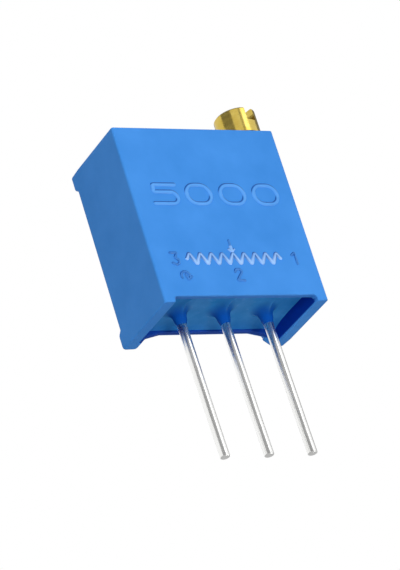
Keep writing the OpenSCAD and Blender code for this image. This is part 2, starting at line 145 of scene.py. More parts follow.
# takes another object's shape out of an object, exactly, and uses that other object up
def cutAway(obj, tool):
    change = obj.modifiers.new("cutAway", "BOOLEAN")
    change.operation, change.solver, change.object = "DIFFERENCE", "EXACT", tool
    graph = bpy.context.evaluated_depsgraph_get()
    result = bpy.data.meshes.new_from_object(obj.evaluated_get(graph))
    obj.modifiers.clear()
    obj.data = result
    bpy.data.objects.remove(tool)


# an object's points as an array of (x, y, z) in millimetres
def meshPoints(obj):
    flat = np.empty(len(obj.data.vertices) * 3, np.float32)
    obj.data.vertices.foreach_get("co", flat)
    return flat.reshape(-1, 3).astype(float) / mm


# a number from 0 to 1 at every point, which a finish reads to go over to its shade colour: a painted shade
def paintShade(obj, values):
    layer = obj.data.attributes.new("deep", "FLOAT", "POINT")
    layer.data.foreach_set("value", np.asarray(values, np.float32))


# smooth faces with sharp edges by angle, a finish and the body to ride on; the CAD nodes that the piece stands for
# are hidden
def finishPiece(obj, body, material, nodes):
    obj.data.shade_smooth()
    obj.data.set_sharp_from_angle(angle=math.radians(sharpDegrees))
    obj.data.materials.clear()
    obj.data.materials.append(material)
    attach(obj, body)
    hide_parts(*nodes)
    print(obj.name, len(obj.data.vertices), "points", len(obj.data.polygons), "faces")


# the angles of a full turn, without its end
def fullTurn(columns):
    return np.linspace(0, 2 * np.pi, columns, endpoint=False)


# rings round the vertical line through centre: radius * cos and radius * sin of the turn, with one
# height for each ring, and one radius for each ring or for each of its points
def rings(radius, height, centre, columns):
    x = centre[0] + radius * np.cos(fullTurn(columns))
    y = centre[1] + radius * np.sin(fullTurn(columns))
    return np.stack([x, y, np.broadcast_to(height[:, None], x.shape)], -1)


# a round form: profile points (r, z) carried round the vertical line through centre
def lathe(profile, centre, columns):
    radius, height = np.array(profile, float).T
    return rings(radius[:, None], height, centre, columns)


# sRGB hex to linear: c / 12.92 near black, ((c + 0.055) / 1.055) ^ 2.4 above
def hexColour(text):
    c = np.array([int(text[i:i + 2], 16) for i in (1, 3, 5)]) / 255
    linear = np.where(c <= 0.04045, c / 12.92, ((c + 0.055) / 1.055) ** 2.4)
    return (*linear.tolist(), 1.0)


# adds a node: a setting goes to the node's own property if it has one, else to its socket, and a
# link comes from a socket or from a node's first output
def addNode(tree, kind, settings={}, links={}):
    node = tree.nodes.new("ShaderNode" + kind)
    for key, value in settings.items():
        if isinstance(key, str) and hasattr(node, key):
            setattr(node, key, value)
        else:
            node.inputs[key].default_value = value
    for key, source in links.items():
        socket = source.outputs[0] if hasattr(source, "outputs") else source
        tree.links.new(socket, node.inputs[key])
    return node


# the node tree of a material or a world, emptied
def emptyTree(owner):
    owner.use_nodes = True
    owner.node_tree.nodes.clear()
    return owner.node_tree


# a new material and its empty tree
def newMaterial(name):
    material = bpy.data.materials.new(name)
    return material, emptyTree(material)


# what all finishes share: how rough their clouds and grain are, and the span that each is read over
noise = {
    "cloudDetail": 4, "cloudRoughness": 0.55, "cloudSpan": (0.32, 0.68),
    "grainDetail": 3, "grainRoughness": 0.6, "grainSpan": (0.3, 0.7),
}


# a finish from its dictionary: two colours mixed by soft clouds, then the shade colour, a painted shade, where the
# piece's points ask for it, and a fine grain that sets both height and roughness; clouds and grain are the same in
# all directions unless the dictionary stretches them
def makeMaterial(name, look):
    material, tree = newMaterial(name)
    place = addNode(tree, "TexCoord").outputs["Object"]
    patch = addNode(tree, "Mapping", {"Scale": look.get("patchStretch", even)}, {"Vector": place})
    clouds = addNode(tree, "TexNoise", {
        "Scale": 1 / (look["patchMm"] * mm),
        "Detail": noise["cloudDetail"], "Roughness": noise["cloudRoughness"],
    }, {"Vector": patch})
    share = addNode(tree, "MapRange", {
        "From Min": noise["cloudSpan"][0], "From Max": noise["cloudSpan"][1],
    }, {"Value": clouds})
    colour = addNode(tree, "Mix", {
        "data_type": "RGBA", 6: hexColour(look["colours"][0]), 7: hexColour(look["colours"][1]),
    }, {0: share})
    # painted shade: the darker colour where the piece's points ask for it
    if "deepColour" in look:
        deep = addNode(tree, "Attribute", {"attribute_name": "deep"})
        colour = addNode(tree, "Mix", {"data_type": "RGBA", 7: hexColour(look["deepColour"])}, {
            0: deep.outputs["Fac"], 6: colour.outputs[2],
        })
    line = addNode(tree, "Mapping", {"Scale": look.get("grainStretch", even)}, {"Vector": place})
    grain = addNode(tree, "TexNoise", {
        "Scale": 1 / (look["grainMm"] * mm),
        "Detail": noise["grainDetail"], "Roughness": noise["grainRoughness"],
    }, {"Vector": line})
    gloss = addNode(tree, "MapRange", {
        "From Min": noise["grainSpan"][0], "From Max": noise["grainSpan"][1],
        "To Min": look["roughness"][0], "To Max": look["roughness"][1],
    }, {"Value": grain})
    relief = addNode(tree, "Bump", {
        "Strength": 1.0, "Distance": look["grainDeepMm"] * mm,
    }, {"Height": grain})
    shader = addNode(tree, "BsdfPrincipled", look["shader"], {
        "Base Color": colour.outputs[2], "Roughness": gloss, "Normal": relief,
    })
    addNode(tree, "OutputMaterial", {}, {"Surface": shader})
    return material


# sizes and places that the frame gives, in millimetres
caseLow, caseHigh = nodeBox("housing")
wellLow, wellHigh = nodeBox("potting")
joints = {j["name"]: np.array(j["pos_m"]) / mm for j in frame["joints"]}
pinNames = ["terminal_pin_1", "terminal_pin_2", "terminal_pin_3"]
pinBoxes = [nodeBox(name) for name in pinNames]
pinX = [(low[0] + high[0]) / 2 for low, high in pinBoxes]
wireRadius = pinBoxes[0][1][1]
pinEnd = pinBoxes[0][0][2]
screwAxis = joints["screw_turn"][:2]
headTop = nodeBox("adjusting_screw")[1][2]

# glass-filled thermoplastic, injection moulded: satin blue with faint clouds, and a painted shade of dark navy on
# the well's walls and rims; the skin's grain is drawn some four times coarser than real, to show
mouldedPlastic = makeMaterial("mouldedBluePlastic", {
    "colours": ("#3f8ce0", "#4895ea"), "deepColour": "#02329a", "patchMm": 2.6,
    "grainMm": 0.16, "grainDeepMm": 0.004, "roughness": (0.38, 0.5),
    "shader": {"IOR": 1.5, "Specular IOR Level": 0.05},
})

# the same plastic where the marks stand out, a little smoother, with a painted shade on their upper sides; the
# figures and numbers are painted paler and the resistor symbol nearly white, both a painted highlight
markLook = {"deepColour": "#1656a8", "grainMm": 0.16, "grainDeepMm": 0.002, "roughness": (0.26, 0.36)}
paleMarkPlastic = makeMaterial("paleBlueMarkPlastic", {
    **markLook, "colours": ("#559ff0", "#62a9f6"), "patchMm": 2.6,
    "shader": {"IOR": 1.5, "Specular IOR Level": 0.1},
})
palestMarkPlastic = makeMaterial("palestBlueMarkPlastic", {
    **markLook, "colours": ("#86baf8", "#a2cafd"), "patchMm": 1.3,
    "shader": {"IOR": 1.5, "Specular IOR Level": 0.2},
})

# epoxy resin, poured and cured: blue and glossy with soft flow marks, and a painted shade that is darkest round
# the pins and darker towards the back wall
pouredEpoxy = makeMaterial("pouredBlueEpoxy", {
    "colours": ("#2e8ad4", "#449be3"), "deepColour": "#0a51ac", "patchMm": 1.1,
    "grainMm": 0.5, "grainDeepMm": 0.015, "roughness": (0.16, 0.3),
    "shader": {"IOR": 1.5, "Specular IOR Level": 0.03},
})

# free-cutting brass, turned: bright yellow metal with rings round the head, about twice as coarse
# as the tool leaves them
turnedBrass = makeMaterial("turnedBrass", {
    "colours": ("#ccb04e", "#dac36a"), "patchMm": 0.7, "shader": metal,
    "grainMm": 0.09, "grainStretch": (0.04, 0.04, 1), "grainDeepMm": 0.003,
    "roughness": (0.14, 0.26),
})

# copper wire, hot tinned: nearly white metal with faint lines along the wire, coarser than real
tinnedWire = makeMaterial("tinnedWire", {
    "colours": ("#f1f1ef", "#fafaf9"), "patchMm": 0.8, "patchStretch": (1, 1, 0.2), "shader": metal,
    "grainMm": 0.06, "grainStretch": (1, 1, 0.04), "grainDeepMm": 0.0015, "roughness": (0.2, 0.32),
})

# finishes of the pieces inside the case, by the record's slot
hiddenLooks = {
    # nitrile rubber, moulded: black with a faint bloom
    "o_ring_rubber": {
        "colours": ("#121213", "#232324"), "patchMm": 0.4, "shader": {"IOR": 1.52},
        "grainMm": 0.05, "grainDeepMm": 0.003, "roughness": (0.5, 0.65),
    },
    # stainless spring steel, stamped: grey with rolling lines
    "clip_steel": {
        "colours": ("#b4b6ba", "#cfd1d4"), "patchMm": 0.5, "patchStretch": (0.2, 1, 1),
        "grainMm": 0.04, "grainStretch": (0.05, 1, 1), "grainDeepMm": 0.002,
        "roughness": (0.25, 0.4),
        "shader": metal,
    },
    # acetal, injection moulded: milky white, satin
    "rotor_plastic": {
        "colours": ("#e6e3d6", "#f1efe6"), "patchMm": 1.5, "shader": {"IOR": 1.48},
        "grainMm": 0.1, "grainDeepMm": 0.003, "roughness": (0.35, 0.5),
    },
    # copper alloy spring strip, rolled: pale gold with lines along the strip
    "wiper_metal": {
        "colours": ("#c9b783", "#dccd9f"), "patchMm": 0.4, "patchStretch": (1, 1, 0.2),
        "grainMm": 0.03, "grainStretch": (1, 1, 0.05), "grainDeepMm": 0.002,
        "roughness": (0.2, 0.32),
        "shader": metal,
    },
    # alumina, pressed and fired: ivory white, fine matte grain
    "plate_ceramic": {
        "colours": ("#e9e5d8", "#f2efe6"), "patchMm": 0.9, "shader": {"IOR": 1.7},
        "grainMm": 0.05, "grainDeepMm": 0.004, "roughness": (0.6, 0.75),
    },
    # cermet ink, printed and fired: nearly black, half glossy
    "resistor_film": {
        "colours": ("#151515", "#242423"), "patchMm": 0.3, "shader": {"IOR": 1.6},
        "grainMm": 0.04, "grainDeepMm": 0.002, "roughness": (0.25, 0.4),
    },
    # silver ink, printed and fired: pale grey metal with a matte skin
    "conductor_film": {
        "colours": ("#b2b0a8", "#c9c7bf"), "patchMm": 0.3, "shader": metal,
        "grainMm": 0.05, "grainDeepMm": 0.003, "roughness": (0.4, 0.55),
    },
    # tin solder, reflowed: grey metal, slightly frosted
    "solder_tin": {
        "colours": ("#a9abad", "#c4c6c8"), "patchMm": 0.3, "shader": metal,
        "grainMm": 0.06, "grainDeepMm": 0.004, "roughness": (0.25, 0.45),
    },
}
hiddenMaterials = {
    slot: makeMaterial(slot.replace("_", "."), look) for slot, look in hiddenLooks.items()
}
for part in frame["record"]["subparts"]:
    slot = part["material_slot"]
    if slot in hiddenMaterials:
        node = frame["nodes"][part["node"]]
        node.data.materials.clear()
        node.data.materials.append(hiddenMaterials[slot])
print("materials done")

# the moulded case
case = {
    "cornerRound": 0.12, "backCornerRound": 0.20, "innerRound": 0.08,
    "topRound": (0.05, 0.13, 0.28),  # on the sides, at the back corners, on the back
    "rimRound": (0.05, 0.16, 0.19),
    "roundGrows": (0.3, 0.5),  # how far before and after a back corner these change
    "innerCorner": 0.05, "innerRun": 0.06,  # an inner corner's radius, and its length of outline
    "innerFlat": (-1.6, 1.2),  # from and to which y the inner side wall is straight
    "markHigh": 0.06,  # how far the marks stand out of the front face
    "topThick": 0.60,
    "padOut": 0.25, "padWide": 1.20, "padStep": (0.08, 0.04),
    "padFrom": 1.2,  # the y from which the side walls slope out to the pads
    "ledge": (0.4, 1.3), "padSlope": (0.76, 0.96),  # down from the top
    "slopeRounds": (0.12, 0.10),
    "frontGap": 0.33, "frontRound": 0.16,
    "footFade": 0.5,  # how far a foot's inner edge still follows its step
    "stepHalf": 0.01,  # half the width of an upright step
    "arch": [(0.74, 0.0), (1.22, 0.40), (2.15, 0.62)],  # in from the side, up from the board
    "archRounds": (0.32, 0.4, 0.6),
    "boreRound": 0.77, "boreDeep": 1.9, "boreBevel": 0.04, "boreColumns": 72,
    # the painted shade round the well: how dark, up to where, and how near to the well's walls
    "shadeFront": 0.3, "shadeBack": 0.88, "shadeTop": 1.4, "shadeFade": 0.05, "shadeNear": 0.02,
    "shadeFrontIn": 0.01, "shadeBackIn": 0.15,
    # the grid: from, to and how many columns at the front, at the side and at the back's middle
    "frontColumns": (0, 4.6, 17), "sideColumns": (-2.2, 2, 9), "backColumns": (3.4, 12),
    "cornerSteps": 8, "rimSteps": 7, "leastStep": 0.0015, "topInset": 0.4,
    "wallRows": (1.2, 14),  # how far from the top and the board, and how many
    "padRowLift": (0.05, 0.003),  # least height over the rim's edge, and between rows
    "footRows": (0.9, 0.6, 0.3, 0.1), "rimRows": (0.04, 0.5, 0.96), "innerRows": (0.04, 0.5, 1),
    "innerFoot": 1.3,  # from here up the inner wall needs no rows
}
halfWide = caseHigh[0]
front = caseLow[1] + case["markHigh"]
back = caseHigh[1] - case["padOut"]
top = caseHigh[2]
wellHalf, wellFront, wellBack = wellHigh[0], wellLow[1], wellHigh[1]


# the case's wall as a closed strip, drawn for the right half and mirrored: columns run round the
# outline, rows run over the top, down the outside, across the rim and up the inside; the rim's
# height follows the front gap, the feet and the back arch, and an edge's rounding grows from side
# to back; distances along the outline start in the middle of the front, sideS is where y is 0 and
# endS is the middle of the back
def caseShell():
    r, inner, step = case["backCornerRound"], case["innerRound"], case["stepHalf"]
    corners = [(0, front), (halfWide, front), (halfWide, back), (0, back)]
    plan, heading = roundedPath(corners, [case["cornerRound"], r], case["cornerSteps"])
    planS = np.concatenate([[0], np.cumsum(np.linalg.norm(np.diff(plan, axis=0), axis=1))])
    planN = np.column_stack([heading[:, 1], -heading[:, 0]])
    sideS = planS[np.flatnonzero(plan[:, 0] > halfWide - 1e-6)[0]] - (front + case["cornerRound"])
    endS = planS[-1]
    # the pads' step towards the middle of the back, as distance in and distance out
    padOut, padX = case["padOut"], halfWide - case["padWide"]
    padCorners = [(halfWide - r, padOut), (padX + step, padOut), (padX - step, 0), (0, 0)]
    pad = roundedPath(padCorners, case["padStep"])[0]
    padS = endS - pad[:, 0]
    # the rim's height along the outline
    arch = [(endS - halfWide + x, z) for x, z in case["arch"]]
    low, lowHeading = roundedPath([
        (0, case["frontGap"]), (wellHalf - step, case["frontGap"]), (wellHalf + step, 0), *arch,
        (endS, case["arch"][-1][1]),
    ], [case["frontRound"], inner, *case["archRounds"]], case["rimSteps"])
    lowDown = np.column_stack([lowHeading[:, 1], -lowHeading[:, 0]])
    # the inner wall's place and inward normal: front, right side and back, with small corners
    bend = np.linspace(0, np.pi / 2, 5)
    small, run = case["innerCorner"], case["innerRun"] * np.linspace(0, 1, 5)
    frontBend = np.column_stack([
        wellHalf - small + run, wellHalf - small * (1 - np.sin(bend)),
        wellFront + small * (1 - np.cos(bend)), np.sin(bend), -np.cos(bend),
    ])
    backBend = np.column_stack([
        endS - wellHalf - step + run, wellHalf - small * (1 - np.cos(bend)),
        wellBack - small * (1 - np.sin(bend)), np.cos(bend), np.sin(bend),
    ])
    knots = np.concatenate([
        [(0, 0, wellFront, 0, -1)], frontBend,
        [(sideS + y, wellHalf, y, 1, 0) for y in case["innerFlat"]], backBend,
        [(endS, 0, wellBack, 0, 1)],
    ])
    backLong, backCount = case["backColumns"]
    s = np.unique(np.round(np.concatenate([
        planS, padS, low[:, 0], knots[:, 0], np.linspace(*case["frontColumns"]),
        sideS + np.linspace(*case["sideColumns"]), np.linspace(endS - backLong, endS, backCount),
    ]), 4))
    s = s[(s >= 0) & (s <= endS)]
    s = s[np.concatenate([[True], np.diff(s) > case["leastStep"]])]

    # columns of values read off along the outline
    def along(knotS, values):
        return np.column_stack([np.interp(s, knotS, v) for v in values.T])

    # vectors scaled to length one
    def unit(vectors):
        return vectors / np.linalg.norm(vectors, axis=1)[:, None]

    base, side = along(planS, plan), unit(along(planS, planN))
    padShare = (base[:, 1] - case["padFrom"]) / (back - r - case["padFrom"])
    reach = padOut * np.clip(padShare, 0, 1) * (s > sideS)
    shift = np.where(s >= padS[0], np.interp(s, padS, pad[:, 1]), reach)
    ahead = np.column_stack([-side[:, 1], side[:, 0]])
    outer = base + np.column_stack([0 * s, shift])
    gap, down = np.interp(s, low[:, 0], low[:, 1]), unit(along(low[:, 0], lowDown))
    inside = along(knots[:, 0], knots[:, 1:3])
    insideN = unit(along(knots[:, 0], knots[:, 3:5]))
    before, after = case["roundGrows"]
    cornerS, flatS = sideS + back - r, endS - halfWide + r
    growS = [0, cornerS - before, cornerS, flatS, flatS + after]
    rim = np.interp(s, growS, np.array(case["rimRound"])[[0, 0, 1, 1, 2]])
    edge = np.interp(s, growS, np.array(case["topRound"])[[0, 0, 1, 1, 2]])
    footShare = np.where(s < wellHalf + case["footFade"], 1 - np.abs(down[:, 0]), 1)
    across = inner * np.where(s < wellHalf, down[:, 1] ** 2, footShare)
    upward = inner * np.where(s < wellHalf, down[:, 1] ** 2, np.abs(down[:, 1]))

    rows = []

    def addRow(xy, z):
        rows.append(np.column_stack([xy, np.broadcast_to(z, len(s))]))

    # the outline with the pads standing out by a part of their depth
    def partOut(out):
        return base + np.column_stack([0 * s, shift * out / padOut])

    # a quarter turn's rows, as what is left of the radius across and along
    quarter = [(1 - math.sin(a), 1 - math.cos(a)) for a in np.linspace(0, np.pi / 2, 7)]

    # over the top
    middle = np.array([0, (front + back) / 2])
    inset = case["topInset"]
    sides = np.array([halfWide, back]) - inset
    flat = np.clip(base, [inset - halfWide, front + inset], sides)
    addRow(0 * base + middle, top)
    addRow(middle + (flat - middle) * 0.5, top)
    addRow(flat, top)
    addRow(outer - side * (edge + guardMm)[:, None], top)
    for acrossLeft, alongLeft in quarter:
        addRow(outer - side * (edge * acrossLeft)[:, None], top - edge * alongLeft)
    addRow(outer, top - edge - guardMm)

    # down the outside: the pads' upper ledge, the wall, the pads' lower ledge and the rim's edge
    ledgeTop, ledgeFoot = case["ledge"]
    slopeTop, slopeFoot = case["padSlope"]
    ledge = roundedPath([
        (padOut, ledgeTop), (padOut, slopeTop), (0, slopeFoot), (0, ledgeFoot),
    ], case["slopeRounds"])[0][1:-1]
    for out, z in ledge:
        addRow(partOut(out), top - z)
    wallEnd, wallCount = case["wallRows"]
    for z in np.linspace(top - wallEnd, wallEnd, wallCount):
        addRow(base, z)
    slide = ahead * (-down[:, 0] * rim)[:, None]
    liftLow = gap - down[:, 1] * rim
    lift, apart = case["padRowLift"]
    for k, (out, z) in enumerate(ledge[::-1]):
        addRow(partOut(out), np.maximum(z, liftLow + lift + apart * (len(ledge) - k)))
    footHigh = np.maximum(ledge[0, 1] - liftLow, lift)
    for share in case["footRows"]:
        addRow(outer + slide * (1 - share), liftLow + share * footHigh)
    for slideLeft, sideLeft in quarter:
        addRow(outer + slide * slideLeft - side * (rim * sideLeft)[:, None],
               gap - down[:, 1] * rim * slideLeft)

    # across the rim, up the inside and over the ceiling
    rimOut, rimIn = outer - side * rim[:, None], inside + insideN * across[:, None]
    for share in case["rimRows"]:
        addRow(rimOut + (rimIn - rimOut) * share, gap)
    for acrossLeft, alongLeft in quarter:
        addRow(inside + insideN * (across * acrossLeft)[:, None], gap + upward * alongLeft)
    innerLow = gap + upward
    for share in case["innerRows"]:
        addRow(inside, innerLow + share * (case["innerFoot"] - innerLow))
    ceiling = top - case["topThick"]
    sides = np.array([wellHalf, wellBack]) - inset
    flat = np.clip(inside, [inset - wellHalf, wellFront + inset], sides)
    addRow(inside, ceiling)
    addRow(flat, ceiling)
    addRow(0 * base + middle, ceiling)
    half = np.stack(rows)
    mirrored = half[:, -2:0:-1] * [-1, 1, 1]
    return np.concatenate([half, mirrored], axis=1)


caseBody = makeObject("caseShell", [(caseShell(), False, True)])
boreRound, boreLow, boreBevel = case["boreRound"], top - case["boreDeep"], case["boreBevel"]
boreWide = boreRound + 2 * boreBevel
boreCut = makeObject("boreCut", [(lathe([
    (0, boreLow), (boreRound, boreLow), (boreRound, top - boreBevel), (boreWide, top + boreBevel),
    (boreWide, top + cutOver), (0, top + cutOver),
], screwAxis, case["boreColumns"]), False, True)])
cutAway(caseBody, boreCut)


# painted shade on the case round the well: full on the well's side walls and their rim's inner edge, less on the
# back wall with its rim, and least on the front wall's rim; it starts over the board
def wellShade(points):
    x, y, z = points.T
    near, between = case["shadeNear"], np.abs(x) < wellHalf
    inLength = (y > wellFront - near) & (y < wellBack + near)
    side = (np.abs(np.abs(x) - wellHalf) < near) & inLength
    behind = (y > wellBack - near) & (y < back - case["shadeBackIn"]) & between
    rimFront = front + case["rimRound"][0] + case["shadeFrontIn"]
    ahead = (y < wellFront + near) & (y > rimFront) & between
    shaded = np.max([side, case["shadeBack"] * behind, case["shadeFront"] * ahead], axis=0)
    return shaded * smoothStep(z, case["shadeFade"], 2 * case["shadeFade"]) * (z < case["shadeTop"])


# painted shade on the well's walls and rims
paintShade(caseBody, wellShade(meshPoints(caseBody)))
finishPiece(caseBody, "body", mouldedPlastic, ["housing"])

# raised marks: a resistance figure, the resistor symbol, the terminal numbers and a turning arrow
marks = {
    "figureWide": 1.62, "figureHigh": 1.32, "figurePitch": 1.98, "figureLine": 0.23,
    "figurePlace": (0.08, 6.15), "straight": 0.012,  # what an arc leaves straight at its end
    "fiveStem": (0.80, 0.86), "fiveBowl": 0.13, "fiveRound": 0.07, "fiveSteps": 8, "zeroSteps": 10,
    "symbolPlace": (-0.04, 2.42), "symbolLong": 5.41, "symbolLine": 0.20,
    "swing": 0.31, "peaks": 17, "lead": 0.03,
    "numberLine": 0.14, "numberX": (-3.42, 3.60), "numberHigh": 0.66, "secondRow": -0.92,
    "arrowLine": 0.18, "arrowHalf": 0.24,
    "turnPlace": (0.30, -0.05), "turnRadius": 0.24, "turnDegrees": (200, -60, 21),
    "cornerRound": 0.03, "cornerSteps": 4, "cornerGuard": 0.004,
    "sectionPoints": 11, "capPoints": 6,
    "root": 0.03,  # how deep a stroke stands in the wall
    "draft": 0.06,  # how much wider a stroke is at its foot, as a share
    # painted shade: on the marks' upper flanks, and on the symbol's peaks
    "upperShade": (0.0, 0.3),  # from flat to how far turned upwards
    "capped": (0.22, 0.34),  # heights between which a peak of the symbol goes over to dark
    "numberDark": 0.5,  # how dark the numbers are all over
}


# a raised line: a domed cross-section, cos(a) wide and sin(a) high, carried along a path in the
# front face; an open line ends in quarter spheres, where both width and height fall as the cosine
def strokeGrid(path, closed, wide):
    points = np.array(path, float)
    size = np.ones(len(points))
    if closed:
        way = np.roll(points, -1, 0) - np.roll(points, 1, 0)
    else:
        way = np.gradient(points, axis=0)
        way = way / np.linalg.norm(way, axis=1)[:, None]
        cap = np.linspace(0, np.pi / 2, marks["capPoints"])[1:]
        reach = np.sin(cap)[:, None] * wide / 2
        first, last = points[0] - way[0] * reach[::-1], points[-1] + way[-1] * reach
        points = np.concatenate([first, points, last])
        narrow = np.maximum(np.cos(cap), 0)
        size = np.concatenate([narrow[::-1], size, narrow])
        way = np.concatenate([np.tile(way[0], (len(cap), 1)), way, np.tile(way[-1], (len(cap), 1))])
    way = way / np.linalg.norm(way, axis=1)[:, None]
    across = np.column_stack([-way[:, 1], way[:, 0]])
    a = np.linspace(0, np.pi, marks["sectionPoints"])
    foot = 1 + marks["draft"]
    sideways = np.concatenate([[foot], np.cos(a), [-foot]]) * wide / 2
    height = np.concatenate([[0], np.maximum(np.sin(a), 0), [0]]) * case["markHigh"]
    depth = np.concatenate([[-marks["root"]], 0 * a, [-marks["root"]]])
    offset = sideways * size[:, None]
    x = points[:, :1] + across[:, :1] * offset
    z = points[:, 1:] + across[:, 1:] * offset
    return np.stack([x, front - height * size[:, None] - depth, z], -1), closed, True


# a closed outline of straight runs and arcs: a rounded box seen from the front
def ringPath(wide, high, radius):
    x, z = wide / 2, high / 2
    corners = [(0, -z), (x, -z), (x, z), (-x, z), (-x, -z), (0, -z)]
    return roundedPath(corners, [radius] * 4, marks["zeroSteps"], shortGuard)[0][:-1]


# a path moved to its place in the front face
def placed(path, place):
    return np.array(path, float) + place


# a terminal number's path, drawn one high, at its size and place beside the symbol
def number(path, place):
    return placed(np.array(path) * marks["numberHigh"], place)


# the figures: a five and three zeros, in one row
line, thin = marks["figureLine"], marks["numberLine"]
across, up = (marks["figureWide"] - line) / 2, (marks["figureHigh"] - line) / 2
zero = ringPath(2 * across, 2 * up, up - marks["straight"])
bowlTop, (stemTop, stemFoot) = marks["fiveBowl"], marks["fiveStem"]
bowlRound = (up + bowlTop) / 2 - marks["straight"]
five = roundedPath([
    (across, up), (-across * stemTop, up), (-across * stemFoot, bowlTop), (across, bowlTop),
    (across, -up), (-across, -up),
], [marks["fiveRound"]] * 2 + [bowlRound] * 2, marks["fiveSteps"], shortGuard)[0]
figures = np.array(marks["figurePlace"])
pitch = marks["figurePitch"]
figureGrids = [strokeGrid(placed(five, figures - [1.5 * pitch, 0]), False, line)]
for k in (-0.5, 0.5, 1.5):
    figureGrids.append(strokeGrid(placed(zero, figures + [k * pitch, 0]), True, line))

# the symbol and what stands round it, from the symbol's place
symbol = np.array(marks["symbolPlace"])
reach = marks["symbolLong"] / 2
step = marks["symbolLong"] / marks["peaks"]
zigzag = [
    ((k + 0.5) * step - reach, marks["swing"] * (1 - k % 2 * 2)) for k in range(marks["peaks"])
]
leads = [(-reach - marks["lead"], 0)], [(reach + marks["lead"], 0)]
threeX, oneX = marks["numberX"]
turnArc = np.radians(np.linspace(*marks["turnDegrees"]))
turnRing = np.column_stack([np.cos(turnArc), np.sin(turnArc)]) * marks["turnRadius"]
turnPlace = (marks["turnPlace"][0] + threeX, marks["secondRow"] + marks["turnPlace"][1])
turnLine = placed(placed(turnRing, turnPlace), symbol)
symbolLines = [
    (marks["symbolLine"], [*leads[0], *zigzag, *leads[1]]),
    # the pale point of the wiper's arrow, a painted highlight
    (marks["arrowLine"], [(0, 0.70), (0, 0.40)]),
    (thin, [(-0.15, 0.52), (0, 0.36), (0.15, 0.52)]),
]
numberLines = [
    # the shaft of the wiper's arrow
    [(0, 1.02), (0, 0.72)],
    # three, two and one: the terminals from left to right
    number([
        (-0.30, 0.5), (0.28, 0.5), (0, 0.1), (0.28, -0.11), (0.25, -0.41), (0, -0.5), (-0.3, -0.38),
    ], (threeX, 0)),
    number([
        (-0.30, 0.25), (-0.17, 0.46), (0.17, 0.46), (0.30, 0.23), (-0.30, -0.5), (0.34, -0.5),
    ], (0, marks["secondRow"])),
    number([(-0.22, 0.27), (0.08, 0.5), (0.08, -0.5)], (oneX, 0)),
    # the head of the clockwise arrow
    placed([(0.34, -0.04), (0.11, -0.21), (0.02, 0.06)], turnPlace),
]


# a raised line with slightly rounded corners, placed with the symbol
def symbolStroke(wide, path):
    radii = [marks["cornerRound"]] * (len(path) - 2)
    smooth = roundedPath(path, radii, marks["cornerSteps"], marks["cornerGuard"])[0]
    return strokeGrid(placed(smooth, symbol), False, wide)


# how dark a mark is painted, the largest of three: painted shade by the share by which its surface turns upwards,
# painted shade on the symbol's peaks above a height on both sides of the arrow, and a floor that darkens it all
# over
def upperShade(obj, floor):
    flat = np.empty(len(obj.data.vertices) * 3, np.float32)
    obj.data.vertex_normals.foreach_get("vector", flat)
    x, z = meshPoints(obj)[:, [0, 2]].T
    beside = (obj.name == "symbolMarks") & (np.abs(x - symbol[0]) > marks["arrowHalf"])
    caps = beside * smoothStep(z - symbol[1], *marks["capped"])
    upwards = smoothStep(flat[2::3], *marks["upperShade"])
    return np.max([upwards, caps, np.full(len(x), floor)], axis=0)


symbolGrids = [symbolStroke(*each) for each in symbolLines]
numberGrids = [strokeGrid(turnLine, False, thin)]
numberGrids += [symbolStroke(thin, path) for path in numberLines]
# the marks: their paler colours are a painted highlight, and their upper flanks take a painted shade
for name, grids, material, floor in (
    ("figureMarks", figureGrids, paleMarkPlastic, 0),
    ("symbolMarks", symbolGrids, palestMarkPlastic, 0),
    ("numberMarks", numberGrids, paleMarkPlastic, marks["numberDark"]),
):
    mark = makeObject(name, grids)
    paintShade(mark, upperShade(mark, floor))
    finishPiece(mark, "body", material, ["housing"])

# the potting
potting = {
    "level": 0.95, "backSag": 0.06, "sagFrom": 0.2,
    "wallRoot": 0.02,  # how far the epoxy reaches into the walls
    "filletRound": 0.62, "coat": 0.09, "coatEnd": 0.03,
    "coatInto": 1.6,  # the cone's slope goes on inside the pin
    "frontCreep": 0.20, "sideCreep": 0.10, "backCreep": 0.15, "creepReach": 0.24,
    "ridgeHigh": 0.13, "ridgeWide": 0.13, "ridgeBend": 0.28, "ridgeOut": 0.50,
    "ridgeStart": 0.12, "ridgeGrow": 0.5,
    # where the painted shade lies: full near the pins, gone at deepFar, and a share of it towards the back wall
    "deepNear": 0.3, "deepFar": 0.85, "deepBack": 0.35, "deepBackFrom": 0.6,
    "steps": (0.028, 0.075),  # the grid's fine and coarse steps
    "stepsReach": (0.45, 0.9),  # where one goes over to the other
}


# values from low to high, fine round the given centres and coarse elsewhere: the step follows the
# distance to the nearest centre
def unevenLine(low, high, centres):
    fine, coarse = potting["steps"]
    x = np.linspace(low, high, 4001)
    nearest = np.min(np.abs(x[:, None] - np.array(centres)), axis=1)
    density = 1 / (fine + (coarse - fine) * smoothStep(nearest, *potting["stepsReach"]))
    count = np.concatenate([[0], np.cumsum((density[1:] + density[:-1]) / 2 * np.diff(x))])
    return np.interp(np.linspace(0, count[-1], int(count[-1]) + 2), count, x)


